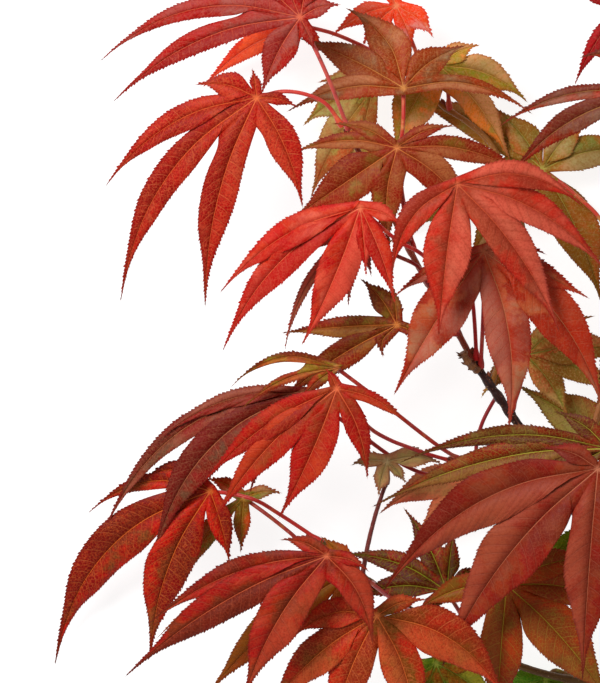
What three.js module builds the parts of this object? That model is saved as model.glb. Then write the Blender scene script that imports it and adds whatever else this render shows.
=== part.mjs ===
// A leafy branch cut from a red-leaved japanese maple, lying face up on a flat surface.
// Millimetres, +Z up. The face of the branch is towards +Z and its upper end towards +Y.
import * as THREE from 'three';

// Driving sizes of the plant
const GAP = 0.3;                 // clear space between neighbouring pieces
const STALK_RADIUS = 0.75;       // leaf stalk
const BLADE_THICKNESS = 0.7;     // blade at a midrib, running out to sharp margins
const LONGEST_LOBE = 73;         // reach of the longest lobe, hub to tip
const WIDEST_LOBE = 15;          // breadth of a lobe of that reach
const WIDTH_POWER = 0.4;         // short lobes are broad for their length
const SLIMMEST = 0.5;            // most breadth a lobe has, as a share of its reach
const LOBE_BOW = 0.1;            // sideways bow of a level lobe's midrib, as a share of its reach
const DROOP = 0.2;               // fall of a lobe's tip below the leaf's plane, as a share of its reach
const CHANNEL = 0.1;             // rise of the margins above the midrib, per millimetre of half breadth
const SINUS_SHARE = 0.22;        // how far from the hub the cut between two lobes ends
const NOTCH = 2.2;               // hub to the leaf's base
const OPEN_ANGLE = 72;           // lobes further apart than this are cut down to the hub, in degrees
const WIDEST_AT = 0.4;           // where along its reach a lobe is widest
const NECK = 0.36;               // breadth of a lobe at its foot, as a share of its widest
const TAPER_POWER = 1.6;         // how long drawn out a lobe's tip is
const FIRST_SECTION = 3.5;       // hub to a lobe's first section, beyond the cut's share of its reach
const LAST_SECTION = 0.87;       // a lobe's last section before its tip, as a share of its reach
const SHORTEST_LOBE = 8.8;       // lobes under this reach start their sections no nearer the hub
const LONG_LOBE = 26;            // lobes above this reach have four sections, others three
const STALK_OUT = 0.6;           // a stalk's first bend, out from under the hub
const STALK_DOWN = 1.8;          // and down from it
const STALK_STEP = 8;            // between a stalk's sections
const STEM_STEP = 9;             // between a stem's sections
const STEM_SIDES = 8;
const STALK_SIDES = 4;
const HALF_SIDE = 0.5;           // a tube's first corner is half a side round from its reference direction

const COLOURS = {
  bark: 0x5b4a35,
  young_bark: 0x7c4a34,
  bright_red: 0xa9252b,
  crimson: 0x8c1c26,
  maroon: 0x5d2426,
  orange_red: 0xb4472c,
  brown: 0x6a4a30,
  olive: 0x6d6a3a,
  green: 0x6f8f3a,
};

// Stems: the way points of the middle line from foot to tip, and the radius at each end.
// `on` names the stem it springs from and where along it, from 0 at the foot to 1 at the tip.
const STEMS = {
  main_stem: {
    route: [[100, -122, 1.9], [96, -92, 11], [88, -60, 21], [69, -30, 31], [52, -6, 39]],
    foot: 2.1, tip: 1.1, colour: 'bark',
  },
  leader: {
    on: ['main_stem', 1],
    route: [[46, 5, 43], [38, 18, 46], [30, 33, 49], [15, 62, 53]],
    foot: 1, tip: 0.8, colour: 'young_bark',
  },
  old_stub: {
    on: ['main_stem', 0.97],
    route: [[51, -7, 43], [48.8, -3.2, 45]],
    foot: 1.1, tip: 1, colour: 'bark',
  },
  middle_twig: {
    on: ['main_stem', 0.55],
    route: [[66, -40, 30], [46, -36, 36]],
    foot: 1.1, tip: 0.85, colour: 'young_bark',
  },
  lower_twig: {
    on: ['main_stem', 0.13],
    route: [[70, -99, 13], [51, -91, 18], [37, -83, 23], [18, -70, 27], [6, -60, 29]],
    foot: 1.2, tip: 0.85, colour: 'young_bark',
  },
  young_twig: {
    on: ['lower_twig', 0.84],
    route: [[22, -54, 35], [24.5, -47, 36], [26, -42, 37]],
    foot: 0.75, tip: 0.6, colour: 'young_bark',
  },
  back_twig: {
    on: ['main_stem', 0.93],
    route: [[66, 10, 27], [67, 34, 20], [57, 60, 17], [43, 71, 16], [37, 76, 15]],
    foot: 1, tip: 0.8, colour: 'young_bark',
  },
  side_twig: {
    on: ['main_stem', 0.58],
    route: [[90, -20, 30], [99, 6, 32], [104, 32, 33], [106, 62, 34], [106, 90, 36]],
    foot: 1.1, tip: 0.8, colour: 'young_bark',
  },
};

// The lobes of a leaf that opens evenly about its middle lobe
function fan(aim, size) {
  const spread = [-112, -76, -39, 0, 39, 76, 112];
  const share = [0.35, 0.72, 0.94, 1, 0.94, 0.72, 0.35];
  return spread.map((turn, i) => [aim + turn, size * share[i]]);
}

// Leaves: the hub where the stalk meets the blade, the blade's rise per millimetre along X and Y,
// the stalk's way points from the hub to its place on a stem, and the lobes counter-clockwise.
// A lobe is [direction in degrees, reach, breadth, bow, lift]; the last three have defaults.
const LEAVES = {
  crest_left: {
    hub: [0, 97, 68], tilt: [0.08, 0.12], stalk: [[8, 80, 63], [12, 70, 58]], on: ['leader', 0.98],
    lobes: [[18, 12], [75, 22], [122, 38], [162, 54, 13.5, -8], [192, 61, 6, -9],
      [204, 61, 7.5, -6], [243, 25], [293, 10]],
    colour: 'bright_red',
  },
  upper_left: {
    hub: [-13, 73, 58], tilt: [0.1, 0.12], stalk: [[-3, 75, 58], [8, 71, 57]], on: ['leader', 0.96],
    lobes: [[98, 8], [167, 18], [210, 52, 8, -6], [236, 73, 9.5, -9], [256, 64, 11, -4],
      [293, 35, 9.5, 2], [347, 12, 4]],
    colour: 'bright_red',
  },
  upper_centre: {
    hub: [31, 76, 47], tilt: [0.05, -0.15], stalk: [[31, 66, 45], [30, 50, 44]], on: ['leader', 0.45],
    lobes: [[-11, 39, 4.5, 5], [35, 22], [125, 29, 11.5, -4], [154, 34, 10, -1], [191, 35, 7]],
    colour: 'maroon',
  },
  centre: {
    hub: [29, 58, 62], tilt: [0.06, 0.1], stalk: [[30, 48, 58]], on: ['leader', 0.5],
    lobes: [[159, 20, 5], [183, 31.5, 5, -3], [214, 37, 13, 0], [266, 30, 9.5, -2], [317, 30, 10],
      [347, 41, 7, 4], [381, 18, 4]],
    colour: 'maroon',
  },
  front_centre: {
    hub: [18, 40, 77], tilt: [0.12, 0.14], stalk: [[28, 31, 70], [39, 24, 60]], on: ['leader', 0.25],
    lobes: [[211, 48.5, 8.5, -4.5], [226, 59, 10, -6], [247, 44, 12, 1], [275, 20, 4],
      [290, 30, 6.5, 1], [337, 13, 5]],
    colour: 'bright_red',
  },
  front_right: {
    hub: [47, 47, 82], tilt: [-0.06, 0.16], stalk: [[47, 40, 72], [49, 29, 57], [52, 10, 48]],
    on: ['main_stem', 0.985],
    lobes: [[234, 33, 8, -5], [263, 45, 14], [305, 53, 12], [330, 51, 10, 5], [350, 38, 8, 6]],
    colour: 'bright_red',
  },
  right_centre: {
    hub: [55, 27, 64], tilt: [0.05, 0.14], stalk: [[55, 12, 55]], on: ['main_stem', 0.97],
    lobes: [[207, 30, 5, -2], [238, 50, 15, -1], [278, 54, 14, 4], [307, 60, 14, 6],
      [336, 34, 8, 1], [358, 18, 6]],
    colour: 'maroon',
  },
  small_centre: {
    hub: [29, 5, 54], tilt: [0.14, 0.05], stalk: [[36, 4, 51], [42, 3, 49]], on: ['leader', 0.12],
    lobes: [[95, 11, 4], [128, 17, 7], [184, 34, 6.5, -0.5], [213, 42, 8.5, -1.5],
      [245, 10, 5, -2], [331, 8, 4]],
    colour: 'brown',
  },
  behind_front_centre: {
    hub: [16, 33, 60], tilt: [0.05, 0.1], stalk: [[24, 28, 56], [36, 22, 52]], on: ['leader', 0.33],
    lobes: [[205, 18, 4], [240, 41, 3, -4], [266, 22, 4], [292, 14, 4]],
    colour: 'brown',
  },
  middle_left: {
    hub: [11, -14, 66], tilt: [0.12, 0.14], stalk: [[21, -26, 57], [36, -33, 43]], on: ['middle_twig', 1],
    lobes: [[118, 6], [215, 48, 8.5, -3], [227, 54, 10, -3], [246, 42, 12, 1], [289, 28, 7, 2],
      [333, 24, 4]],
    colour: 'crimson',
  },
  middle_left_dark: {
    hub: [1, -15, 46], tilt: [0.1, 0.1], stalk: [[13, -24, 39], [38, -40, 35]], on: ['middle_twig', 0.85],
    lobes: [[199, 47, 5, -5, 2], [216, 75, 7, -12], [229, 69, 12, -10], [242, 34, 8, -2]],
    colour: 'maroon',
  },
  middle_left_thin: {
    hub: [11, -8, 57], tilt: [0.15, 0.1], stalk: [[23, -17, 51], [41, -31, 43]], on: ['middle_twig', 0.9],
    lobes: [[190, 32, 3, -6], [203, 31, 3, -3], [222, 14, 4]],
    colour: 'orange_red',
  },
  lower_left: {
    hub: [-27, -45, 31], tilt: [0.18, 0.16], stalk: [[-15, -47, 34], [-6, -52, 31]],
    on: ['lower_twig', 1],
    lobes: [[172, 21, 6, -5], [190, 37, 5, -6], [228, 70, 14, -11], [250, 53, 14, -4],
      [285, 22, 7]],
    colour: 'orange_red',
  },
  lower_left_green: {
    hub: [-17, -47, 24], tilt: [0.2, 0.2], stalk: [[-6, -55, 24], [5, -64, 23]], on: ['lower_twig', 0.92],
    lobes: [[8, 11, 4], [152, 12, 5], [236, 33, 6, -3], [267, 16, 5]],
    colour: 'green',
  },
  front_lower: {
    hub: [8, -64, 80], tilt: [0.14, 0.14], stalk: [[18, -70, 72], [30, -79, 46]], on: ['lower_twig', 0.62],
    lobes: [[160, 14, 5], [201, 57, 8, -5], [211, 70, 11.5, -4], [240, 50, 14, -3],
      [298, 29, 9, 3], [340, 13, 4]],
    colour: 'bright_red',
  },
  front_lower_dark: {
    hub: [15, -69, 50], tilt: [0.1, 0.1], stalk: [[20, -72, 42]], on: ['lower_twig', 0.8],
    lobes: [[129, 13], [199, 61, 6, -8], [221, 57, 12, -3], [264, 25, 10]],
    colour: 'olive',
  },
  bottom_centre: {
    hub: [23, -82, 62], tilt: [0.03, 0.2], stalk: [[32, -86, 44]], on: ['lower_twig', 0.52],
    lobes: [[18, 15, 5], [195, 26, 9, -4], [222, 45, 11.5, -3], [249, 40, 12], [287, 39, 12.5, 3],
      [327, 46, 15, 6]],
    colour: 'crimson',
  },
  front_lower_right: {
    hub: [89, -38, 76], tilt: [0.06, 0.16], stalk: [[91, -46, 64], [86, -50, 36]], on: ['main_stem', 0.57],
    lobes: [[19, 17], [159, 17, 6], [210, 74, 16, -9], [232, 75, 18, -5], [266, 63, 15],
      [301, 58, 12, 3], [336, 46, 10, 4]],
    colour: 'bright_red',
  },
  right_green: {
    hub: [100, -33, 24], tilt: [0.05, -0.1], stalk: [[98, -42, 26]], on: ['main_stem', 0.5],
    lobes: [[-22, 22], [51, 28], [107, 36], [150, 40, 14, 0], [189, 19, 5]],
    colour: 'olive',
  },
  right_dark: {
    hub: [92, -32, 62], tilt: [0.12, 0.08], stalk: [[91, -42, 46]], on: ['main_stem', 0.47],
    lobes: [[145, 19, 6], [184, 62, 6, -6], [194, 72, 9, -5], [223, 48, 9, -5]],
    colour: 'olive',
  },
  lower_right: {
    hub: [62, -73, 46], tilt: [-0.05, 0.14], stalk: [[74, -74, 36]], on: ['main_stem', 0.31],
    lobes: [[15, 29, 9], [196, 28, 8], [266, 43, 13], [311, 48, 16, 2], [345, 41, 10]],
    colour: 'maroon',
  },
  lower_centre_green: {
    hub: [44, -75, 43], tilt: [0.08, -0.1], stalk: [[49, -83, 34]], on: ['lower_twig', 0.42],
    lobes: [[28, 14, 5], [83, 19, 6], [117, 27.5, 7.5], [161, 34, 7], [185, 29, 7], [225, 12, 4]],
    colour: 'olive',
  },
  foot_green: {
    hub: [41, -97, 14], tilt: [0, 0.2], stalk: [[46, -94, 15]], on: ['lower_twig', 0.4],
    lobes: [[220, 17], [254, 23], [288, 26], [320, 23], [349, 13]],
    colour: 'green',
  },
  foot_green_right: {
    hub: [74, -102, 8], tilt: [0, 0.1], stalk: [[76, -99, 8]], on: ['lower_twig', 0.08],
    lobes: [[204, 18], [247, 23], [292, 24], [335, 24]],
    colour: 'green',
  },
  far_right: {
    hub: [104, 74, 50], tilt: [0.12, 0.05], stalk: [[106, 64, 46]], on: ['side_twig', 0.7],
    lobes: [[32, 16], [150, 22.5, 9.5, -6], [192, 45, 4.5, -5], [211, 48, 8, -5], [262, 37],
      [305, 31]],
    colour: 'maroon',
  },
  side_crest: {
    hub: [98, 101, 42], tilt: [-0.05, 0.15], stalk: [[103, 95, 40]], on: ['side_twig', 0.98],
    lobes: [[162, 21], [237, 28, 5], [286, 24], [340, 22], [390, 20]],
    colour: 'bright_red',
  },
  back_right: {
    hub: [73, 52, 12], tilt: [0, 0.05], stalk: [[82, 45, 14], [92, 34, 22]], on: ['side_twig', 0.35],
    lobes: [[9, 33, 10, 3, -8], [46, 20], [128, 23], [154, 46, 11], [206, 52, 10, -4], [232, 36],
      [294, 44, 14, 2, -2]],
    colour: 'olive',
  },
  back_upper: {
    hub: [42, 83, 24], tilt: [-0.08, 0.08], stalk: [[44, 78, 21]], on: ['back_twig', 0.9],
    lobes: [[28, 13], [242, 29.5, 13], [307, 35, 9], [338, 28, 10, 3]],
    colour: 'orange_red',
  },
  back_left: {
    hub: [22, 76, 10], tilt: [0, 0.05], stalk: [[30, 77, 13]], on: ['back_twig', 0.98],
    lobes: [[172, 16], [207, 23], [240, 37], [262, 39, 8, -1.5]],
    colour: 'olive',
  },
  back_crest: {
    hub: [29, 101, 26], tilt: [0, 0], stalk: [[33, 92, 20]], on: ['back_twig', 0.96],
    lobes: [[121, 12], [205, 21, 6], [229, 15], [291, 13], [320, 14]],
    colour: 'orange_red',
  },
  back_crest_left: {
    hub: [1, 95, 21], tilt: [0.35, 0.1], stalk: [[12, 92, 18], [29, 83, 15]], on: ['back_twig', 1],
    lobes: [[155, 24], [211, 35, 6.5], [232, 18], [300, 9]],
    colour: 'orange_red',
  },
  right_olive: {
    hub: [68, -4, 31], tilt: [-0.1, 0.05], stalk: [[66, -14, 30]], on: ['main_stem', 0.85],
    lobes: [[1, 32, 10, 2], [30, 23, 8], [223, 18, 6], [304, 22, 8.5], [336, 31, 9]],
    colour: 'olive',
  },
  stem_green: {
    hub: [94, -60, 36], tilt: [0, 0], stalk: [[92, -66, 30]], on: ['main_stem', 0.38],
    lobes: [[146, 13], [195, 23], [263, 26]],
    colour: 'green',
  },
  back_brown: {
    hub: [54.5, -40.5, 20], tilt: [0, 0], stalk: [[53, -32, 22], [55, -24, 25], [60, -15, 29]],
    on: ['main_stem', 0.9],
    lobes: [[200, 32, 10], [222, 25, 7], [252, 14, 6]],
    colour: 'brown',
  },
  young_leaf: {
    hub: [26, -36, 42], tilt: [0, 0.1], stalk: [[26.4, -39, 39]], on: ['young_twig', 1],
    lobes: [[185, 10, 5], [256, 10, 5], [312, 8, 4], [358, 16, 6]],
    colour: 'green',
  },
  side_upper: {
    hub: [112, 42, 58], tilt: [-0.15, 0.12], stalk: [[108, 46, 44]], on: ['side_twig', 0.5],
    lobes: fan(-55, 38),
    colour: 'maroon',
  },
  side_middle: {
    hub: [104, 6, 48], tilt: [-0.18, 0.1], stalk: [[100, 9, 40]], on: ['side_twig', 0.2],
    lobes: fan(-45, 40),
    colour: 'crimson',
  },
  side_lower: {
    hub: [112, -62, 40], tilt: [-0.18, 0.12], stalk: [[102, -66, 32]], on: ['main_stem', 0.34],
    lobes: fan(-40, 36),
    colour: 'olive',
  },
};

const point = ([x, y, z]) => new THREE.Vector3(x, y, z);
const radians = THREE.MathUtils.degToRad;

// ---- Tubes ----

// Rings of a tapering tube along a curve, each turned as little as possible from the one before
function tubeRings(curve, footRadius, tipRadius, sides, steps, firstAcross) {
  const rings = [];
  let across = firstAcross;
  for (let step = 0; step <= steps; step += 1) {
    const share = step / steps;
    const along = curve.getTangentAt(share);
    across = across.clone().addScaledVector(along, -across.dot(along)).normalize();
    const up = new THREE.Vector3().crossVectors(along, across);
    const radius = THREE.MathUtils.lerp(footRadius, tipRadius, share);
    const centre = curve.getPointAt(share);
    const ring = [];
    for (let side = 0; side < sides; side += 1) {
      const turn = (2 * Math.PI * (side + HALF_SIDE)) / sides;
      ring.push(
        centre.clone()
          .addScaledVector(across, radius * Math.cos(turn))
          .addScaledVector(up, radius * Math.sin(turn)),
      );
    }
    rings.push(ring);
  }
  return rings;
}

// A closed mesh gathered face by face
class Solid {
  constructor() {
    this.points = [];
    this.faces = [];
  }

  add(p) {
    this.points.push(p);
    return this.points.length - 1;
  }

  face(...corners) {
    for (let i = 2; i < corners.length; i += 1) {
      this.faces.push([corners[0], corners[i - 1], corners[i]]);
    }
  }

  // Skin between rings of equal count that run counter-clockwise seen from the far end
  skin(rings) {
    for (let r = 1; r < rings.length; r += 1) {
      const [a, b] = [rings[r - 1], rings[r]];
      a.forEach((corner, i) => {
        const j = (i + 1) % a.length;
        this.face(corner, a[j], b[j], b[i]);
      });
    }
  }

  geometry() {
    const geometry = new THREE.BufferGeometry();
    geometry.setFromPoints(this.points);
    geometry.setIndex(this.faces.flat());
    return geometry;
  }
}

function makeMesh(name, solid, colour) {
  const material = new THREE.MeshStandardMaterial({
    color: COLOURS[colour],
    roughness: colour.endsWith('bark') ? 0.8 : 0.5,
    metalness: 0,
  });
  const mesh = new THREE.Mesh(solid.geometry(), material);
  mesh.name = name;
  return mesh;
}

// ---- Stems ----

const grown = {};

function radiusAt(stem, share) {
  return THREE.MathUtils.lerp(stem.foot, stem.tip, share);
}

// Where a branch of a given radius starts so that its flat foot stays clear of the stem it springs from
function socket([name, share], towards, radius) {
  const stem = grown[name];
  const centre = stem.curve.getPointAt(share);
  const along = stem.curve.getTangentAt(share);
  const way = towards.clone().sub(centre).normalize();
  const lean = Math.abs(way.dot(along));
  if (share === 1 && lean > Math.SQRT1_2) return centre.addScaledVector(way, GAP * 2);
  const rise = Math.sqrt(1 - lean * lean);
  return centre.addScaledVector(way, (radiusAt(stem, share) + GAP + radius * lean) / rise);
}

function makeStem(name, { on, route, foot, tip, colour }) {
  const way = route.map(point);
  if (on) way.unshift(socket(on, way[0], foot));
  const curve = new THREE.CatmullRomCurve3(way, false, 'centripetal');
  grown[name] = { curve, foot, tip };
  const steps = Math.max(2, Math.round(curve.getLength() / STEM_STEP));
  const solid = new Solid();
  const rings = tubeRings(curve, foot, tip, STEM_SIDES, steps, new THREE.Vector3(0, 0, 1))
    .map((ring) => ring.map((p) => solid.add(p)));
  solid.skin(rings);
  solid.face(...[...rings[0]].reverse());
  solid.face(...rings.at(-1));
  return makeMesh(name, solid, colour);
}

// ---- Leaves ----

// Half breadth of a lobe along its reach: narrow at the cut, full before the middle, drawn out to the tip
function halfBreadth(share, breadth) {
  const filling = NECK + (1 - NECK) * THREE.MathUtils.smoothstep(share, 0, WIDEST_AT);
  const past = Math.max(0, (share - WIDEST_AT) / (1 - WIDEST_AT));
  return (breadth / 2) * filling * Math.cos((Math.PI / 2) * past) ** TAPER_POWER;
}

function polar(angle, distance) {
  return new THREE.Vector2(Math.cos(angle), Math.sin(angle)).multiplyScalar(distance);
}

// A lobe's midrib point and the level direction across it
function lobeStation(leaf, lobe, share) {
  const { angle, reach, bow, lift } = lobe;
  const out = polar(angle, 1);
  const side = polar(angle + Math.PI / 2, 1);
  const sideways = bow * 4 * share * (1 - share);
  const offset = out.clone().multiplyScalar(reach * share).addScaledVector(side, sideways);
  const across = side.clone().addScaledVector(out, (-bow * 4 * (1 - 2 * share)) / reach).normalize();
  return { offset, across, height: leafHeight(leaf, offset) + lift * share * share };
}

// Height of the leaf's surface at a level offset from its hub
function leafHeight(leaf, offset) {
  const [x, y] = leaf.tilt;
  return leaf.hub[2] + x * offset.x + y * offset.y - (DROOP * offset.lengthSq()) / leaf.size;
}

function readLobe([degrees, reach, breadth, bow, lift = 0]) {
  const angle = radians(degrees);
  return {
    angle,
    reach,
    breadth: breadth ?? Math.min(WIDEST_LOBE * (reach / LONGEST_LOBE) ** WIDTH_POWER, SLIMMEST * reach),
    bow: bow ?? LOBE_BOW * reach * Math.cos(angle),
    lift,
  };
}

function makeLeaf(name, { hub, tilt, stalk, on, lobes, colour }) {
  const solid = new Solid();
  const parts = lobes.map(readLobe);
  const leaf = { hub, tilt, size: Math.max(...parts.map(({ reach }) => reach)) };
  const place = ({ x, y }, z) => solid.add(new THREE.Vector3(hub[0] + x, hub[1] + y, z));

  // Margin points between neighbouring lobes, with the leaf's base first and last
  const baseAngle = (parts[0].angle + parts.at(-1).angle) / 2 + Math.PI;
  const cuts = parts.slice(1).map((lobe, i) => {
    const before = parts[i];
    const wide = lobe.angle - before.angle > radians(OPEN_ANGLE);
    const distance = wide ? NOTCH : SINUS_SHARE * Math.min(lobe.reach, before.reach) + NOTCH / 2;
    const share = distance / (lobe.reach + before.reach);
    const bow = 4 * share * (lobe.bow + before.bow);
    const middle = (lobe.angle + before.angle) / 2;
    const offset = polar(middle, distance).add(polar(middle + Math.PI / 2, wide ? 0 : bow));
    return place(offset, leafHeight(leaf, offset));
  });
  const base = polar(baseAngle, NOTCH);
  const margin = [place(base, leafHeight(leaf, base)), ...cuts];

  // Lobes: a rib above and below each midrib station, and a margin point each side
  const topHub = place({ x: 0, y: 0 }, hub[2] + BLADE_THICKNESS / 2);
  const around = [];
  parts.forEach((lobe, i) => {
    const [right, left] = [margin[i], margin[(i + 1) % margin.length]];
    const nearest = SINUS_SHARE + FIRST_SECTION / Math.max(lobe.reach, SHORTEST_LOBE);
    const count = lobe.reach > LONG_LOBE ? 4 : 3;
    const sections = [];
    for (let k = 0; k < count; k += 1) {
      const share = THREE.MathUtils.lerp(nearest, LAST_SECTION, k / (count - 1));
      const { offset, across, height } = lobeStation(leaf, lobe, share);
      const half = halfBreadth(share, lobe.breadth);
      const edge = height + CHANNEL * half;
      sections.push({
        right: place(offset.clone().addScaledVector(across, -half), edge),
        left: place(offset.clone().addScaledVector(across, half), edge),
        top: place(offset, height + BLADE_THICKNESS / 2),
        under: place(offset, height - BLADE_THICKNESS / 2),
      });
    }
    const end = lobeStation(leaf, lobe, 1);
    const tip = place(end.offset, end.height);
    const first = sections[0];
    solid.face(topHub, right, first.top);
    solid.face(topHub, first.top, left);
    solid.face(right, first.right, first.top);
    solid.face(first.top, first.left, left);
    solid.face(first.under, first.right, right);
    solid.face(left, first.left, first.under);
    for (let k = 1; k < count; k += 1) {
      const [a, b] = [sections[k - 1], sections[k]];
      solid.face(a.right, b.right, b.top, a.top);
      solid.face(a.top, b.top, b.left, a.left);
      solid.face(a.under, b.under, b.right, a.right);
      solid.face(a.left, b.left, b.under, a.under);
    }
    const last = sections.at(-1);
    solid.face(last.right, tip, last.top);
    solid.face(last.top, tip, last.left);
    solid.face(last.under, tip, last.right);
    solid.face(last.left, tip, last.under);
    around.push(right, first.under);
  });

  // The stalk leaves the underside at the hub and runs to its stem
  const way = stalk.map(point);
  const start = point(hub).add(new THREE.Vector3(0, 0, -BLADE_THICKNESS / 2));
  const out = way[0].clone().sub(start).setZ(0).normalize();
  const bend = start.clone().addScaledVector(out, STALK_OUT);
  bend.z -= STALK_DOWN;
  const end = socket(on, way.at(-1), STALK_RADIUS);
  const curve = new THREE.CatmullRomCurve3([bend, ...way, end], false, 'centripetal');
  const steps = Math.max(2, Math.round(curve.getLength() / STALK_STEP));
  const tubes = tubeRings(curve, STALK_RADIUS, STALK_RADIUS, STALK_SIDES, steps, out);
  const collar = tubes[0].map((_, side) => {
    const turn = Math.atan2(out.y, out.x) - (2 * Math.PI * (side + HALF_SIDE)) / STALK_SIDES;
    const offset = polar(turn, STALK_RADIUS);
    return place(offset, leafHeight(leaf, offset) - BLADE_THICKNESS / 2);
  });
  const rings = [collar, ...tubes.map((ring) => ring.map((p) => solid.add(p)))];
  solid.skin(rings);
  solid.face(...rings.at(-1));
  closeUnder(solid, around, [...collar].reverse(), point(hub));
  return makeMesh(name, solid, colour);
}

// Fill the underside between the points around the hub and the stalk's collar, both counter-clockwise
function closeUnder(solid, outer, inner, centre) {
  const turnOf = (index) => {
    const { x, y } = solid.points[index];
    return Math.atan2(y - centre.y, x - centre.x);
  };
  const since = (from, to) => THREE.MathUtils.euclideanModulo(to - from, 2 * Math.PI);
  const zero = turnOf(outer[0]);
  const nearest = inner.map((index) => since(zero, turnOf(index)));
  const first = nearest.indexOf(Math.min(...nearest));
  const ring = inner.map((_, i) => inner[(first + i) % inner.length]);
  let [o, i] = [0, 0];
  const angleOuter = (k) => (k >= outer.length ? 2 * Math.PI : since(zero, turnOf(outer[k])));
  const angleInner = (k) => since(zero, turnOf(ring[k % ring.length])) + (k >= ring.length ? 2 * Math.PI : 0);
  while (o < outer.length || i < ring.length) {
    const [thisOuter, thisInner] = [outer[o % outer.length], ring[i % ring.length]];
    const outerNext = o < outer.length && (i >= ring.length || angleOuter(o + 1) <= angleInner(i + 1));
    if (outerNext) {
      solid.face(thisInner, outer[(o + 1) % outer.length], thisOuter);
      o += 1;
    } else {
      solid.face(thisInner, ring[(i + 1) % ring.length], thisOuter);
      i += 1;
    }
  }
}

// ---- The branch, with the middle of its box's underside at the origin ----

const branch = new THREE.Group();
for (const [name, stem] of Object.entries(STEMS)) branch.add(makeStem(name, stem));
for (const [name, leaf] of Object.entries(LEAVES)) branch.add(makeLeaf(`leaf_${name}`, leaf));
const box = new THREE.Box3().setFromObject(branch, true);
const middle = box.getCenter(new THREE.Vector3());
branch.position.set(-middle.x, -middle.y, -box.min.z);

export default new THREE.Group().add(branch);
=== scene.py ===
import math
import random

import bmesh
import bpy
import numpy as np
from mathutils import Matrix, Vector


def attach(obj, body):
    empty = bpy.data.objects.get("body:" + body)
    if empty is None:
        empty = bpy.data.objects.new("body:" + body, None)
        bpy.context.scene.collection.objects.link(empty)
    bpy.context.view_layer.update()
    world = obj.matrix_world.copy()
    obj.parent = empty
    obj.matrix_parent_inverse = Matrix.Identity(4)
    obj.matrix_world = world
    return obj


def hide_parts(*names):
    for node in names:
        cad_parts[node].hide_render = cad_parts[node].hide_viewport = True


# A cut leafy branch of a red-leaved japanese maple, lying face up on a pale floor.
# Lengths inside the makers of blades and stems are millimetres, and metres once they are meshes.

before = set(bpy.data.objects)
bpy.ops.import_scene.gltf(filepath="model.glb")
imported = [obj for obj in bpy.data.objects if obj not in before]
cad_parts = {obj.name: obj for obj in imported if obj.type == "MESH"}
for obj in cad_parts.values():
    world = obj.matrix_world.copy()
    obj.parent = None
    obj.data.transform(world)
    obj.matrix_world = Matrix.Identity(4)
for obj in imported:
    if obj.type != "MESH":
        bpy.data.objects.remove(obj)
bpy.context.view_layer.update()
print("frame loaded:", len(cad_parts), "solids")

millimetre = 0.001


# small helpers

def tint(code):                                   # "b0302a" as a linear colour
    parts = [int(code[i:i + 2], 16) / 255 for i in (0, 2, 4)]
    return tuple(c / 12.92 if c < 0.04045 else ((c + 0.055) / 1.055) ** 2.4 for c in parts) + (1.0,)


def smooth(value, low, high):
    t = np.clip((value - low) / (high - low), 0, 1)
    return t * t * (3 - 2 * t)


def unit(v):
    return v / np.maximum(np.linalg.norm(v, axis=-1, keepdims=True), 1e-9)


def camel(node):
    first, *rest = node.split("_")
    return first + "".join(word.capitalize() for word in rest)


def addObject(name, data):
    thing = bpy.data.objects.new(name, data)
    bpy.context.scene.collection.objects.link(thing)
    return thing


# node graphs

class Flow:                                       # a socket that takes arithmetic
    def __init__(self, graph, socket):
        self.graph, self.socket = graph, socket

    def maths(self, operation, a, b=None):
        return self.graph.add("ShaderNodeMath", {"operation": operation}, {0: a, 1: b})

    def __add__(self, other):
        return self.maths("ADD", self, other)

    def __sub__(self, other):
        return self.maths("SUBTRACT", self, other)

    def __rsub__(self, other):
        return self.maths("SUBTRACT", other, self)

    def __mul__(self, other):
        return self.maths("MULTIPLY", self, other)

    def __truediv__(self, other):
        return self.maths("DIVIDE", self, other)

    __radd__, __rmul__ = __add__, __mul__

    def of(self, name):                           # another output of the same node
        return Flow(self.graph, self.socket.node.outputs[name])


class Graph:
    def __init__(self, tree):
        self.tree = tree

    def add(self, kind, settings=None, inputs=None, output=0):
        node = self.tree.nodes.new(kind)
        for key, value in (settings or {}).items():
            setattr(node, key, value)
        for key, value in (inputs or {}).items():
            if isinstance(value, Flow):
                self.tree.links.new(value.socket, node.inputs[key])
            elif value is not None:
                node.inputs[key].default_value = value
        return Flow(self, node.outputs[output]) if node.outputs else node

    def attribute(self, name):                    # the three numbers of a vector attribute
        node = self.add("ShaderNodeAttribute", {"attribute_name": name}, output="Vector")
        split = self.add("ShaderNodeSeparateXYZ", inputs={0: node})
        return split, split.of("Y"), split.of("Z")

    def ramp(self, value, low, high, start=0.0, end=1.0):
        settings = {"interpolation_type": "SMOOTHSTEP"}
        places = {"Value": value, "From Min": low, "From Max": high, "To Min": start, "To Max": end}
        return self.add("ShaderNodeMapRange", settings, places)

    def noise(self, vector, scale, detail=2.0, roughness=0.5):
        places = {"Vector": vector, "Scale": scale, "Detail": detail, "Roughness": roughness}
        return self.add("ShaderNodeTexNoise", {}, places)

    def blend(self, a, b, factor):
        settings = {"data_type": "RGBA", "clamp_factor": True}
        return self.add("ShaderNodeMix", settings, {0: factor, 6: a, 7: b}, output=2)


def newMaterial(name):
    material = bpy.data.materials.new(name)
    material.use_nodes = True
    material.node_tree.nodes.clear()
    graph = Graph(material.node_tree)
    shader = graph.add("ShaderNodeBsdfPrincipled")
    graph.add("ShaderNodeOutputMaterial", inputs={"Surface": shader})
    return material, graph, shader.socket.node


def plug(graph, shader, **flows):                 # links or values of the shader's sockets
    for name, value in flows.items():
        socket = shader.inputs[name.replace("_", " ")]
        if isinstance(value, Flow):
            graph.tree.links.new(value.socket, socket)
        else:
            socket.default_value = value


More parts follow.
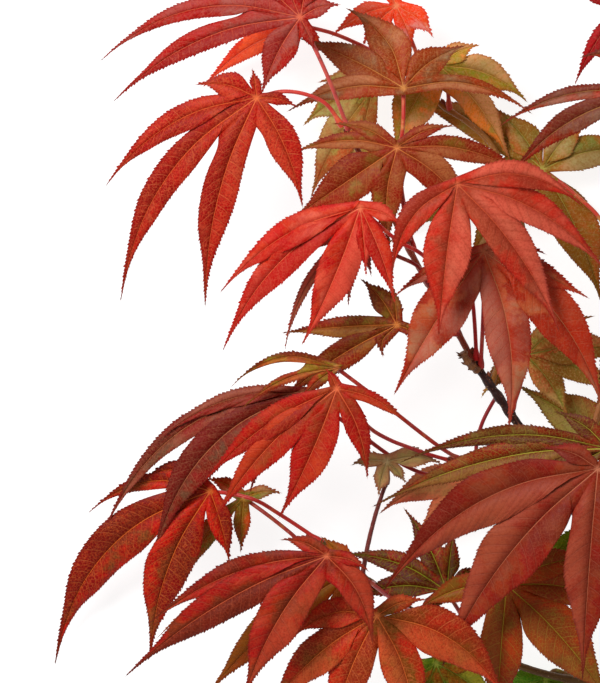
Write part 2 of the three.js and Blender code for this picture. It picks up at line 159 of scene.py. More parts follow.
def plugSkin(graph, shader, colour, rough, height, finish):
    bump = graph.add("ShaderNodeBump", {},
                     {"Strength": finish["bump"], "Distance": finish["bumpDepth"], "Height": height})
    plug(graph, shader, Base_Color=colour, Roughness=rough, Normal=bump, Specular_IOR_Level=finish["gloss"])


# reading the branch's solids

weldGap = 0.00002                                 # metres
solidLeaf = {                                     # what tells the parts of a leaf's solid
    "sameSpot": 0.02,
    "thinnest": 0.5,                              # between its faces, on the ribs
    "thickest": 0.9,
    "hubDepth": 0.35,
}


def weldedMesh(node):
    work = bmesh.new()
    work.from_mesh(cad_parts[node].data)
    bmesh.ops.remove_doubles(work, verts=work.verts[:], dist=weldGap)
    return work


def pointsAndNeighbours(work):
    work.verts.index_update()
    points = np.array([v.co[:] for v in work.verts], float) / millimetre
    near = [{e.other_vert(v).index for e in v.link_edges} for v in work.verts]
    return points, near


def layersFrom(start, near, allowed):             # rings of a tube, walked from its first ring
    layers, seen = [sorted(start)], set(start)
    while True:
        following = {n for v in layers[-1] for n in near[v] if n in allowed and n not in seen}
        if not following:
            return layers
        seen |= following
        layers.append(sorted(following))


def turnOf(a, b):                                 # positive if b lies to the left of a, seen from above
    return a[0] * b[1] - a[1] * b[0]


def pairedBeneath(points, form):                  # rib point above -> rib point beneath
    under = {}
    for i, p in enumerate(points):
        level = np.linalg.norm(points[:, :2] - p[:2], axis=1) < form["sameSpot"]
        for j in np.nonzero(level)[0]:
            if form["thinnest"] < p[2] - points[j, 2] < form["thickest"]:
                under[i] = int(j)
    return under


def readLobe(first, hub, centre, points, near, under):
    ribbed = {*under, *under.values()}
    chain = [first]
    while True:
        more = [n for n in near[chain[-1]] if n in under and n not in chain]
        if not more:
            break
        chain.append(more[0])
    loose = [n for n in near[chain[-1]] if n not in ribbed and n != hub]
    tip = max(loose, key=lambda v: np.linalg.norm(points[v] - centre))
    line = [centre, *[(points[top] + points[under[top]]) / 2 for top in chain], points[tip]]
    sides = {"left": [], "right": []}
    used = {tip}
    for k, top in enumerate(chain):
        pool = sorted((near[top] & near[under[top]]) - ribbed)
        pairs = [(np.linalg.norm(points[a][:2] + points[b][:2] - 2 * points[top][:2]), a, b)
                 for a in pool for b in pool if a < b]
        _, a, b = min(pairs)
        if turnOf(line[k + 2] - line[k], points[a] - points[top]) < 0:
            a, b = b, a
        sides["left"].append(points[a])
        sides["right"].append(points[b])
        used |= {a, b}
    out = points[first] - centre
    cuts = sorted((near[hub] & near[first]) - ribbed)
    cuts.sort(key=lambda v: turnOf(out, points[v] - centre))
    used |= {cuts[0], cuts[-1]}
    return {"line": line, **sides, "leftCut": cuts[-1], "rightCut": cuts[0], "tip": points[tip]}, used


def readLeaf(node, form):
    work = weldedMesh(node)
    points, near = pointsAndNeighbours(work)
    work.free()
    under = pairedBeneath(points, form)
    below = set(under.values())
    ribbed = set(under) | below
    hubs = [v for v in range(len(points))
            if v not in ribbed and near[v] & set(under) and not near[v] & below]
    hub = max(hubs, key=lambda v: len(near[v] & set(under)))
    centre = points[hub] - np.array([0, 0, form["hubDepth"]])
    lobes, used = [], ribbed | {hub}
    for first in sorted(near[hub] & set(under)):
        lobe, taken = readLobe(first, hub, centre, points, near, under)
        lobes.append(lobe)
        used |= taken
    stalk = set(range(len(points))) - used
    collar = {v for v in stalk if near[v] & used}
    rings = layersFrom(collar, near, stalk)
    path = [points[ring].mean(axis=0) for ring in rings]
    return {"hub": centre, "lobes": lobes, "points": points, "stalk": path}


def readStem(node):
    work = weldedMesh(node)
    points, near = pointsAndNeighbours(work)
    bmesh.ops.dissolve_limit(work, angle_limit=0.002, verts=work.verts[:], edges=work.edges[:])
    caps = []
    for face in work.faces:                       # the two round ends: every corner as far from the middle
        reach = [(v.co - face.calc_center_median()).length for v in face.verts]
        if len(reach) == 8 and max(reach) < 1.05 * min(reach):
            caps.append(face)
    foot = max(caps, key=lambda f: f.calc_area())
    rim = [np.array(v.co[:]) / millimetre for v in foot.verts]
    work.free()
    start = {int(np.argmin(np.linalg.norm(points - p, axis=1))) for p in rim}
    rings = layersFrom(start, near, set(range(len(points))))
    path = [points[ring].mean(axis=0) for ring in rings]
    girth = [np.linalg.norm(points[ring] - centre, axis=1).mean() for ring, centre in zip(rings, path)]
    return {"path": path, "girth": girth}


leafNodes = sorted(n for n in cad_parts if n.startswith("leaf_"))
stemNodes = sorted(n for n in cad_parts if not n.startswith("leaf_"))
leaves = {n: readLeaf(n, solidLeaf) for n in leafNodes}
stems = {n: readStem(n) for n in stemNodes}
print("read", len(leaves), "leaves and", len(stems), "stems")


# smooth lines through a few points

def curveThrough(points, perSpan=14):
    p = np.array(points, float)
    p = np.vstack([2 * p[0] - p[1], p, 2 * p[-1] - p[-2]])
    line = []
    for a, b, c, d in zip(p, p[1:], p[2:], p[3:]):
        t1 = np.linalg.norm(b - a) ** 0.5
        t2 = t1 + np.linalg.norm(c - b) ** 0.5
        t3 = t2 + np.linalg.norm(d - c) ** 0.5
        t = np.linspace(t1, t2, perSpan, endpoint=False)[:, None]
        ab = a + (b - a) * t / t1
        bc = b + (c - b) * (t - t1) / (t2 - t1)
        cd = c + (d - c) * (t - t2) / (t3 - t2)
        near = ab + (bc - ab) * t / t2
        far = bc + (cd - bc) * (t - t1) / (t3 - t1)
        line.append(near + (far - near) * (t - t1) / (t2 - t1))
    line = np.vstack(line + [p[-2:-1]])
    run = np.concatenate([[0], np.cumsum(np.linalg.norm(np.diff(line, axis=0), axis=1))])
    return line, run


def pointsAt(curve, distances):
    line, run = curve
    return np.stack([np.interp(distances, run, line[:, k]) for k in range(3)], axis=-1)


def slopesOf(points):
    return unit(np.gradient(points, axis=0))


# blades

bladeForm = {
    "rowPitch": 1.15,                             # along a margin, one small tooth to each row
    "fewestRows": 9,
    "foldRows": 7,                                # from the hub to the cuts between the lobes
    "columns": [0, 0.07, 0.3, 0.55, 0.8, 1],      # from a lobe's midrib to its margin
    "thickness": 0.24,
    "sharpFrom": 50,                              # degrees
    "tipReach": 1.1,                              # past the tip of the solid
    "slimTip": 0.32,                              # how much a lobe draws in towards its tip
    "slimShare": (0.5, 0.88),                     # of its length, where it does so

    "veinSlant": 0.85,                            # how far forward the side veins run, per unit of breadth
    "ribStart": 0.8,                              # the first one leaves the midrib at least this far out
    "ribStartShare": 0.4,
    "veinSag": -0.1,
    "veinEvery": 3,                               # rows
    "veinDepth": 0.09,
    "veinIn": 0.25,                               # where a side vein starts and ends, from rib to margin
    "veinOut": 0.82,
    "veinBreadth": 3.5,                           # shallower on lobes narrower than this to each side
    "quilt": 0.08,                                # swelling between two side veins
    "puff": 0.1,                                  # swelling of each half, per unit of its breadth
    "ribDepth": 0.16,
    "ribFade": 0.7,                               # share of the depth that is gone at the tip
    "ribBelow": 0.5,
    "besideRib": 0.12,                            # height below of the columns next to the midrib
    "belowFade": 0.75,
    "ribFollow": 0.6,                             # share of the groove that shows from beneath
    "hubDip": 0.1,
    "hubBoss": 0.8,                               # of the ribs' height
    "hubEdge": 3,                                 # how far from a margin the hub counts as

    "wave": 0.6,                                  # of the margins, up and down
    "waveLength": 15,
    "waveHeights": (0.5, 1.2),                    # from wave to wave, as shares
    "waveLengths": (0.8, 1.3),
    "waveFrom": 5,                                # lower on lobes narrower than this to each side
    "roll": 0.2,
    "swing": 0.035,                               # in and out, as a share of the breadth
    "swingPace": (0.2, 0.32),
    "bareShare": (0.05, 0.24),                    # the margin is plain near the cut
    "fadeFrom": 0.8,                              # and again near the tip

    "toothHeight": 0.45,
    "toothPoints": ((0.32, 0.55), (0.82, 1)),     # along the row, and out, as shares
    "largeTooth": 1.3,                            # every third one
    "smallTooth": 0.8,
    "toothSizes": (0.75, 1.2),
    "tipTooth": 0.35,                             # share of its height that a tooth at the tip keeps
    "steepest": 0.75,                             # height over length of the highest tooth

    # painted shade: one half of every lobe is painted lighter than the other, as light falls on its fold
    "halfTone": (0.35, 0.8),                      # how much lighter one half of a lobe is
    "seed": 7,
}
fullTurn = 6.3                                    # about one, for the random start of a wave
veinsBefore = 40                                  # keeps the count of veins above nought


def growLobe(lobe, form):
    tip = lobe["tip"] + unit(lobe["tip"] - lobe["line"][-2]) * form["tipReach"]
    middle = curveThrough([*lobe["line"][:-1], tip])
    left = curveThrough([lobe["leftCutAt"], *lobe["left"], tip])
    right = curveThrough([lobe["rightCutAt"], *lobe["right"], tip])
    reach = middle[1][-1]
    fold = form["foldRows"]
    rows = max(form["fewestRows"], round((left[1][-1] + right[1][-1]) / 2 / form["rowPitch"]))
    x = np.arange(rows + 1) / rows
    l, r = pointsAt(left, x * left[1][-1]), pointsAt(right, x * right[1][-1])
    centre = (l + r) / 2
    slim = (1 - form["slimTip"] * smooth(x, *form["slimShare"]))[:, None]
    l, r = centre + (l - centre) * slim, centre + (r - centre) * slim
    across = np.linalg.norm(l - r, axis=1) / 2
    nearest = np.argmin(np.linalg.norm(middle[0][None, :, :] - centre[:, None, :], axis=2), axis=1)
    ahead = middle[1][nearest]
    ribRun = ahead - form["veinSlant"] * across
    ribRun[0] = max(ribRun[0], form["ribStartShare"] * ahead[0], form["ribStart"])
    ribRun = np.maximum.accumulate(np.maximum(ribRun, ribRun[0]))
    ribRun = ribRun + (reach - ribRun[-1]) * x ** 3
    inner = np.arange(fold)[:, None] / fold
    m = np.vstack([pointsAt(middle, inner[:, 0] * ribRun[0]), pointsAt(middle, ribRun)])
    hub = np.array(lobe["line"][0])
    l = np.vstack([hub + (l[0] - hub) * inner, l])
    r = np.vstack([hub + (r[0] - hub) * inner, r])
    return {"m": m, "l": l, "r": r, "rows": rows + fold, "fold": fold, "reach": reach,
            "run": np.concatenate([inner[:, 0] * ribRun[0], ribRun])}


class Blade:                                      # the mesh of one leaf as it grows, and what its skin reads
    def __init__(self, leaf, grown, form):
        fold, half = form["foldRows"], form["thickness"] / 2
        across = [unit(np.cross(g["m"][fold] - g["m"][0], g["l"][fold] - g["r"][fold])) for g in grown]
        self.hub, self.form = leaf["hub"], form
        self.facing = unit(sum(across, np.zeros(3)))
        above = self.hub + self.facing * (half - form["hubDip"])
        beneath = self.hub - self.facing * (half + form["ribBelow"] * form["hubBoss"])
        self.verts = [above, beneath]
        self.faces, self.sheet, self.run, self.tone = [], [], [], []
        self.edges = {}

    def cutEdge(self, key, at):                   # the line from the hub to a cut, shared by two lobes
        if key not in self.edges:
            fold = self.form["foldRows"]
            share = (np.arange(1, fold) / fold)[:, None]
            line = self.hub + (at - self.hub) * share
            thick = self.facing * (self.form["thickness"] / 2) * (1 - share ** 3)
            first = len(self.verts)
            self.verts.extend([*(line + thick), *(line - thick), at])
            last = len(self.verts) - 1
            above = [*range(first, first + fold - 1), last]
            beneath = [*range(first + fold - 1, last), last]
            self.edges[key] = (above, beneath)
        return self.edges[key]

    def addTube(self, tube):                      # the stalk, whose skin reads none of these
        first = len(self.verts)
        self.verts.extend(np.array([v.co[:] for v in tube.vertices]) / millimetre)
        for polygon in tube.polygons:
            corners = len(polygon.vertices)
            self.faces.append([first + i for i in polygon.vertices])
            self.sheet.extend(np.zeros((corners, 3)))
            self.run.extend(np.zeros((corners, 3)))
            self.tone.extend([0.0] * corners)

    # each face above, and turned over beneath
    def addFaces(self, faces, top, base, sheet, run, tone):
        under = [np.array([u[0], u[1], 1.0]) for u in run]
        for face in faces:
            for corners, numbers, runs in ((face, top, run), (face[::-1], base, under)):
                self.faces.append([numbers[v] for v in corners])
                self.sheet.extend(sheet[v] for v in corners)
                self.run.extend(runs[v] for v in corners)
                self.tone.extend(tone[v] for v in corners)


def bladeColumns(form):                           # from the right margin over the midrib to the left one
    columns = np.array([-c for c in form["columns"][:0:-1]] + form["columns"])
    return np.abs(columns)[None, :], np.sign(columns)[None, :]


def cellOf(row, column, span):
    return (row - 1) * span + column


def shapeLobe(g, facing, form, dice):             # points above and beneath, by rows up to the tip
    fold, rows, m, l, r = g["fold"], g["rows"], g["m"], g["l"], g["r"]
    t, side = bladeColumns(form)
    k = np.arange(rows + 1)
    past = np.clip((k - fold) / (rows - fold), 0, 1)
    near = np.clip(k / fold, 0, 1)[:, None]
    ways = slopesOf(m)
    lean = unit(np.cross(ways, l - r))
    lean[0] = facing
    lean = unit(facing * (1 - near) + lean * near)
    width = np.linalg.norm(l - r, axis=1) / 2
    sideWidth = np.stack([np.linalg.norm(r - m, axis=1), np.linalg.norm(l - m, axis=1)], axis=1)
    bare = smooth(past, *form["bareShare"])
    fade = 1 - smooth(past, form["fadeFrom"], 1)

    def swung(edge):                              # a margin that swings slowly in and out
        turn = k * dice.uniform(*form["swingPace"]) + dice.uniform(0, fullTurn)
        return m + (edge - m) * (1 + form["swing"] * np.sin(turn) * bare * fade)[:, None]

    def waved():                                  # and up and down, each side in its own way
        pace = form["waveLength"] * dice.uniform(*form["waveLengths"])
        turn = 2 * np.pi * g["run"] / pace + dice.uniform(0, fullTurn)
        height = form["wave"] * np.sin(turn) * body * dice.uniform(*form["waveHeights"])
        return height * np.clip(width / form["waveFrom"], 0, 1)

    r, l = swung(r), swung(l)
    roll = form["roll"] * dice.uniform(-1, 1)
    body = np.sin(np.pi * past) ** 0.7
    wave = np.stack([waved() - roll * width * body, waved() + roll * width * body], axis=1)

    edge = np.where(side[..., None] < 0, r[:, None, :], l[:, None, :])
    place = m[:, None, :] + (edge - m[:, None, :]) * t[..., None]
    breadth = np.where(side < 0, sideWidth[:, :1], sideWidth[:, 1:])
    hump = 4 * t * (1 - t)
    place = place + ways[:, None, :] * (form["veinSag"] * breadth * hump * near)[..., None]

    veinStep, onRib, past = form["veinEvery"], t == 0, past[:, None]
    vein = ((k - fold)[:, None] + np.where(side < 0, veinStep / 2, 0)) / veinStep
    onVein = 0.5 + 0.5 * np.cos(2 * np.pi * vein)
    strength = smooth(t, 0, form["veinIn"]) * (1 - smooth(t, form["veinOut"], 1))
    strength = strength * np.clip(breadth / form["veinBreadth"], 0, 1) * near
    relief = form["puff"] * breadth * hump ** 0.8 * near
    relief = relief + (form["quilt"] * (1 - onVein) - form["veinDepth"] * onVein ** 4) * strength
    relief = relief - form["ribDepth"] * onRib * near * (1 - past * form["ribFade"])
    relief = relief + np.where(side < 0, wave[:, :1], wave[:, 1:]) * t ** 2
    thick = form["thickness"] / 2 * (1 - t ** 6) * (1 - past ** 8)
    besideRib = np.abs(t - form["columns"][1]) < 1e-6
    ribRoll = (form["ribBelow"] * onRib + form["besideRib"] * besideRib) * (1 - form["belowFade"] * past)
    above = place + lean[:, None, :] * (relief + thick)[..., None]
    sunk = relief - thick - ribRoll + form["ribFollow"] * form["ribDepth"] * onRib
    lower = place + lean[:, None, :] * sunk[..., None]
    return {"above": above, "lower": lower, "place": place, "m": m, "rows": rows, "reach": g["reach"],
            "bare": bare, "fade": fade, "near": near, "past": past, "vein": vein, "breadth": breadth}


def skinOf(shape, hub, form):                     # what the skin reads at every point, then at hub and tip
    t, side = bladeColumns(form)
    rows, fold, step = shape["rows"], form["foldRows"], form["veinEvery"]
    inner = slice(1, rows)
    breadth, near = shape["breadth"], shape["near"]
    sheet = np.zeros((rows - 1, t.size, 3))
    sheet[..., 0] = (side * t * breadth)[inner]
    sheet[..., 1] = ((1 - t) * breadth)[inner] + (1 - near[inner]) * form["hubEdge"]
    sheet[..., 2] = np.linalg.norm(shape["place"] - hub, axis=2)[inner]
    run = np.zeros((rows - 1, t.size, 3))
    run[..., 0] = shape["vein"][inner] + veinsBefore
    run[..., 1] = (shape["past"] + 0 * t)[inner]
    sheet = [*sheet.reshape(-1, 3), np.array([0, form["hubEdge"], 0]), np.array([0, 0, shape["reach"]])]
    run = [*run.reshape(-1, 3), np.array([veinsBefore - fold / step, 0, 0]),
           np.array([veinsBefore + (rows - fold) / step, 1, 0])]
    return sheet, run


def numberLobe(blade, lobe, shape):               # new points, and the numbers of all rows, hub and tip
    span, rows = shape["above"].shape[1], shape["rows"]
    count = (rows - 1) * span
    top = np.full(count + 2, -1)
    base = np.full(count + 2, -1)
    for column, cut in ((0, "rightCut"), (span - 1, "leftCut")):
        above, beneath = blade.cutEdge(lobe[cut], lobe[cut + "At"])
        for row, (a, b) in enumerate(zip(above, beneath), 1):
            top[cellOf(row, column, span)] = a
            base[cellOf(row, column, span)] = b
    above = shape["above"][1:rows].reshape(-1, 3)
    lower = shape["lower"][1:rows].reshape(-1, 3)
    rim = (above + lower) / 2
    for i in np.nonzero(top[:count] < 0)[0]:
        top[i] = base[i] = len(blade.verts)
        if i % span in (0, span - 1):
            blade.verts.append(rim[i])
        else:
            base[i] += 1
            blade.verts.extend([above[i], lower[i]])
    top[count], base[count] = 0, 1
    top[count + 1] = base[count + 1] = len(blade.verts)
    blade.verts.append(shape["m"][-1])
    return list(top), list(base), rim.reshape(rows - 1, span, 3)


def plainFaces(rows, span, fold):                 # all but the strips that carry the teeth
    count = (rows - 1) * span
    faces = []
    for a in range(span - 1):
        b = a + 1
        faces.append((count, a, b))
        for row in range(1, rows - 1):
            if row < fold or 0 < a < span - 2:
                low, high = cellOf(row, 0, span), cellOf(row + 1, 0, span)
                faces.append((low + a, high + a, high + b, low + b))
        last = cellOf(rows - 1, 0, span)
        faces.append((last + a, count + 1, last + b))
    return faces


# two more margin points to each row, the second one the tip of its tooth
def toothedFaces(blade, shape, rim, top, base, sheet, run, dice):
    form, span, m = blade.form, rim.shape[1], shape["m"]
    fold = form["foldRows"]
    faces = []
    for column, step, bank in ((0, 1, 0), (span - 1, -1, 1)):
        for row in range(fold, shape["rows"] - 1):
            low, high = cellOf(row, column, span), cellOf(row + 1, column, span)
            p, q = rim[row - 1, column], rim[row, column]
            if row == fold:
                p = np.array(blade.verts[top[low]])
            away = unit((p + q) / 2 - (m[row] + m[row + 1]) / 2)
            share = form["largeTooth"] if (row + bank) % 3 == 0 else form["smallTooth"]
            size = form["toothHeight"] * share
            size = size * dice.uniform(*form["toothSizes"]) * shape["bare"][row]
            size = size * (form["tipTooth"] + (1 - form["tipTooth"]) * shape["fade"][row])
            size = min(size, form["steepest"] * np.linalg.norm(q - p))
            i, j = len(top), len(top) + 1
            for lap, height in form["toothPoints"]:
                top.append(len(blade.verts))
                base.append(len(blade.verts))
                blade.verts.append(p + (q - p) * lap + away * size * height)
                sheet.append(sheet[low] + (sheet[high] - sheet[low]) * lap)
                run.append(run[low] + (run[high] - run[low]) * lap)
            a, b, c, d = low + step, high + step, high, low
            fan = [(a, b, j), (b, c, j), (a, j, i), (a, i, d)]
            faces.extend(f if step < 0 else f[::-1] for f in fan)
    return faces


def growBlade(leaf, form, dice):
    for lobe in leaf["lobes"]:
        for cut in ("leftCut", "rightCut"):
            lobe[cut + "At"] = leaf["points"][lobe[cut]]
    grown = [growLobe(lobe, form) for lobe in leaf["lobes"]]
    blade = Blade(leaf, grown, form)
    for lobe, g in zip(leaf["lobes"], grown):
        shape = shapeLobe(g, blade.facing, form, dice)
        top, base, rim = numberLobe(blade, lobe, shape)
        sheet, run = skinOf(shape, blade.hub, form)
        faces = plainFaces(shape["rows"], rim.shape[1], form["foldRows"])
        faces += toothedFaces(blade, shape, rim, top, base, sheet, run, dice)
        # each lobe's tone differs at random, and one half of it is painted lighter than the other, as
        # painted shade of its fold
        lobeTone = dice.uniform(-1, 1)
        halfTone = dice.choice((-1, 1)) * dice.uniform(*form["halfTone"])
        tone = [lobeTone + halfTone * float(np.clip(v[0] * 2, -1, 1)) for v in sheet]
        blade.addFaces(faces, top, base, sheet, run, tone)
    return blade


# meshes

def newPiece(name, verts, faces, materials, slots, corners, sharpFrom):
    mesh = bpy.data.meshes.new(name)
    mesh.from_pydata(np.asarray(verts) * millimetre, [], faces)
    for material in materials:
        mesh.materials.append(material)
    mesh.polygons.foreach_set("material_index", slots)
    for key, values in corners.items():
        plain = np.ndim(values) == 1
        layer = mesh.attributes.new(key, "FLOAT" if plain else "FLOAT_VECTOR", "CORNER")
        layer.data.foreach_set("value" if plain else "vector", np.asarray(values, np.float32).ravel())
    mesh.polygons.foreach_set("use_smooth", [True] * len(mesh.polygons))
    mesh.set_sharp_from_angle(angle=math.radians(sharpFrom))
    mesh.update()
    return addObject(name, mesh)


def declare(piece, node):
    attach(piece, "root")
    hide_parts(node)


# tubes along a path

speckShape = (0.8, 1.5, 0.45)                     # across, along and out of the bark
fineScale = 4.0                                   # of the fine relief, against the coarse


def tubeTree():
    tree = bpy.data.node_groups.new("tubeAlongPath", "GeometryNodeTree")
    face = tree.interface
    face.new_socket("Path", in_out="INPUT", socket_type="NodeSocketGeometry")
    for label, kind, value in (("Sides", "Int", 12), ("Step", "Float", 0.0006),
                               ("Relief", "Float", 0.0), ("Relief Scale", "Float", 600.0),
                               ("Fine Relief", "Float", 0.0), ("Material", "Material", None),
                               ("Speck Density", "Float", 0.0), ("Speck Size", "Float", 0.0002),
                               ("Speck Material", "Material", None), ("Seed", "Int", 3)):
        socket = face.new_socket(label, in_out="INPUT", socket_type="NodeSocket" + kind)
        if value is not None:
            socket.default_value = value
    face.new_socket("Tube", in_out="OUTPUT", socket_type="NodeSocketGeometry")
    graph = Graph(tree)
    given = graph.add("NodeGroupInput")
    path = graph.add("GeometryNodeMeshToCurve", inputs={0: given})
    path = graph.add("GeometryNodeResampleCurve", {"mode": "LENGTH"},
                     {"Curve": path, "Length": given.of("Step")})
    length = graph.add("GeometryNodeSplineParameter", output="Length")
    path = graph.add("GeometryNodeStoreNamedAttribute", {"data_type": "FLOAT", "domain": "POINT"},
                     {"Geometry": path, "Name": "tubeRun", "Value": length})
    ring = graph.add("GeometryNodeCurvePrimitiveCircle", {"mode": "RADIUS"},
                     {"Resolution": given.of("Sides"), "Radius": 1.0})
    around = graph.add("GeometryNodeSplineParameter", output="Factor")
    ring = graph.add("GeometryNodeStoreNamedAttribute", {"data_type": "FLOAT", "domain": "POINT"},
                     {"Geometry": ring, "Name": "tubeTurn", "Value": around})
    girth = graph.add("GeometryNodeInputNamedAttribute", {"data_type": "FLOAT"}, {"Name": "girth"})
    tube = graph.add("GeometryNodeCurveToMesh",
                     inputs={"Curve": path, "Profile Curve": ring, "Scale": girth, "Fill Caps": True})
    where = graph.add("GeometryNodeInputPosition")
    facing = graph.add("GeometryNodeInputNormal")
    lumps = graph.noise(where, given.of("Relief Scale"), 3.0)
    fine = graph.noise(where, given.of("Relief Scale") * fineScale, 2.0)
    height = (lumps - 0.5) * given.of("Relief") + (fine - 0.5) * given.of("Fine Relief")
    push = graph.add("ShaderNodeVectorMath", {"operation": "SCALE"}, {0: facing, "Scale": height})
    tube = graph.add("GeometryNodeSetPosition", inputs={"Geometry": tube, "Offset": push})
    spots = graph.add("GeometryNodeDistributePointsOnFaces", {"distribute_method": "RANDOM"},
                      {"Mesh": tube, "Density": given.of("Speck Density"), "Seed": given.of("Seed")})
    grain = graph.add("GeometryNodeMeshIcoSphere",
                      inputs={"Radius": given.of("Speck Size"), "Subdivisions": 1})
    flat = graph.add("ShaderNodeCombineXYZ", inputs=dict(enumerate(speckShape)))
    specks = graph.add("GeometryNodeInstanceOnPoints", {},
                       {"Points": spots, "Instance": grain, "Rotation": spots.of("Rotation"), "Scale": flat})
    specks = graph.add("GeometryNodeRealizeInstances", inputs={0: specks})
    specks = graph.add("GeometryNodeSetMaterial",
                       inputs={"Geometry": specks, "Material": given.of("Speck Material")})
    tube = graph.add("GeometryNodeSetMaterial", inputs={"Geometry": tube, "Material": given.of("Material")})
    both = graph.add("GeometryNodeJoinGeometry", inputs={0: tube})
    graph.tree.links.new(specks.socket, both.socket.node.inputs[0])
    whole = graph.add("GeometryNodeRealizeInstances", inputs={0: both})
    graph.add("NodeGroupOutput", inputs={0: whole})
    return tree


def grownBy(tree, source, values):                # a plain mesh from a node tree on a source object
    modifier = source.modifiers.new("grow", "NODES")
    modifier.node_group = tree
    names = {s.name: s.identifier for s in tree.interface.items_tree if s.in_out == "INPUT"}
    for label, value in values.items():
        modifier[names[label]] = value
    bpy.context.view_layer.update()
    seen = bpy.context.evaluated_depsgraph_get()
    mesh = bpy.data.meshes.new_from_object(source.evaluated_get(seen))
    source.modifiers.remove(modifier)
    return mesh


def pathObject(path, girth):
    mesh = bpy.data.meshes.new("path")
    mesh.from_pydata(np.asarray(path) * millimetre, [(i, i + 1) for i in range(len(path) - 1)], [])
    layer = mesh.attributes.new("girth", "FLOAT", "POINT")
    layer.data.foreach_set("value", np.asarray(girth, np.float32) * millimetre)
    return addObject("path", mesh)


tubes = tubeTree()


def tubeMesh(path, girth, values):
    source = pathObject(path, girth)
    mesh = grownBy(tubes, source, values)
    old = source.data
    bpy.data.objects.remove(source)
    bpy.data.meshes.remove(old)
    return mesh


# leaf colours

# a blade's body, its dark and light parts (also used as painted shade and a painted sheen), its reddest
# and greenest parts, its ribs, its stalk, and how plainly the fine net of veins shows
leafLooks = {
    "crest_left":          ("a11504", "8e0504", "a75047", "ad0504", "9b4a3f", "d8684a", "c24a44", 0.5),
    "upper_left":          ("b01a0a", "890604", "c43c22", "ac0604", "b23d24", "e06c3c", "c4382e", 0.65),
    "upper_centre":        ("793c16", "8c2f04", "b67950", "9b2c04", "816a49", "cc8848", "ba2a1f", 0.4),
    "centre":              ("87320d", "791705", "a46638", "8a1a04", "795f18", "cc7840", "ae271e", 0.4),
    "front_centre":        ("c72e0f", "aa0605", "da543d", "bd0605", "d3543c", "e4704c", "c62522", 0.3),
    "front_right":         ("bf331c", "8b1d0b", "d26048", "c01f0d", "a8442a", "d0603c", "ba2222", 0.3),
    "right_centre":        ("b25830", "ab260a", "b76955", "901f06", "a56949", "c07850", "a62522", 0.25),
    "small_centre":        ("6b2a04", "681804", "93692a", "871b05", "776115", "c87838", "ae2a29", 0.4),
    "behind_front_centre": ("b0523d", "8b3f2f", "c65d46", "b04237", "ac6342", "ad5f46", "922322", 0.2),
    "middle_left":         ("a81705", "8c0705", "b63d18", "af0705", "8f3712", "dc6a40", "ae2322", 0.4),
    "middle_left_dark":    ("721a05", "6b0a06", "94533c", "861410", "5e3a24", "c07850", "9e221f", 0.35),
    "middle_left_thin":    ("93360e", "661d07", "ba6625", "9c2206", "8b7718", "be6e3c", "a62d25", 0.35),
    "lower_left":          ("9c1704", "700704", "be4318", "bb0704", "744018", "d87030", "ae271f", 0.5),
    "lower_left_green":    ("995304", "893506", "b97e57", "c74011", "647115", "bd9138", "a23125", 0.4),
    "front_lower":         ("a02506", "5e1405", "ac4024", "a10706", "7c2c0c", "cc6440", "be2d2b", 0.3),
    "front_lower_dark":    ("8b4906", "7c3a04", "9c590c", "9f3e06", "855a08", "ae6f3a", "a62d25", 0.3),
    "bottom_centre":       ("a32a04", "842106", "c1562a", "c01605", "704807", "e0783c", "ae2a21", 0.5),
    "front_lower_right":   ("8b2b0b", "6a1205", "9b472e", "871405", "84371c", "b86a4c", "aa2b26", 0.25),
    "right_green":         ("805616", "683806", "948843", "913e06", "837b31", "b0bc4c", "a63728", 0.45),
    "right_dark":          ("712e0d", "541709", "86612e", "871d04", "715623", "b4ac40", "a63128", 0.35),
    "lower_right":         ("95370d", "87300d", "884c1d", "b4370b", "795414", "b8a038", "a22a25", 0.4),
    "lower_centre_green":  ("591b04", "4d0604", "753904", "890d05", "4c3c04", "98982c", "9c2c21", 0.5),
    "foot_green":          ("638907", "3d6504", "abbf34", "c2510f", "468f04", "a8b848", "7c5a28", 0.45),
    "foot_green_right":    ("5c840a", "3e6206", "84a820", "7a6a10", "4c8a08", "a0b440", "7c5a28", 0.45),
    "far_right":           ("922808", "691707", "9c5d4a", "ac1c06", "7b5340", "b07c48", "a22522", 0.35),
    "side_crest":          ("a80b12", "85070c", "bd0e16", "a8080f", "a41014", "ce6a54", "b62525", 0.35),
    "back_right":          ("936e1f", "8d5409", "b99e6a", "b35a20", "7f8436", "b4a850", "be3722", 0.4),
    "back_upper":          ("b28a28", "a36917", "c99869", "f17f26", "879718", "e4b761", "ae3928", 0.4),
    "back_left":           ("c9b855", "ba6628", "dcd782", "ea6c34", "9db046", "e4be6e", "ae3b28", 0.4),
    "back_crest":          ("ec5622", "f64016", "f3a296", "fe3f13", "e3b28f", "fa9666", "c04a38", 0.4),
    "back_crest_left":     ("de3113", "cd2a0f", "eb592f", "e4260f", "f95927", "e87f63", "c04438", 0.4),
    "right_olive":         ("e1994a", "9b6f22", "f1d983", "d66033", "bbbe50", "b4c05c", "ae372b", 0.45),
    "stem_green":          ("6f8909", "618007", "93ab11", "819007", "638707", "a8b848", "84602c", 0.45),
    "back_brown":          ("da7e52", "ad633f", "f58e5d", "da6749", "d59858", "ce9b65", "8c2024", 0.35),
    "young_leaf":          ("af8051", "8b653f", "c5905c", "af6948", "ab9a56", "c4ae7e", "8c5a44", 0.3),
    "side_upper":          ("963e24", "702412", "aa5438", "963220", "8f4924", "c87850", "aa2622", 0.3),
    "side_middle":         ("8c4a28", "683014", "a06242", "8c3c23", "855728", "b88450", "a62f26", 0.3),
    "side_lower":          ("6e5020", "503812", "806430", "6e411c", "695e20", "ac9448", "a63428", 0.35),
}
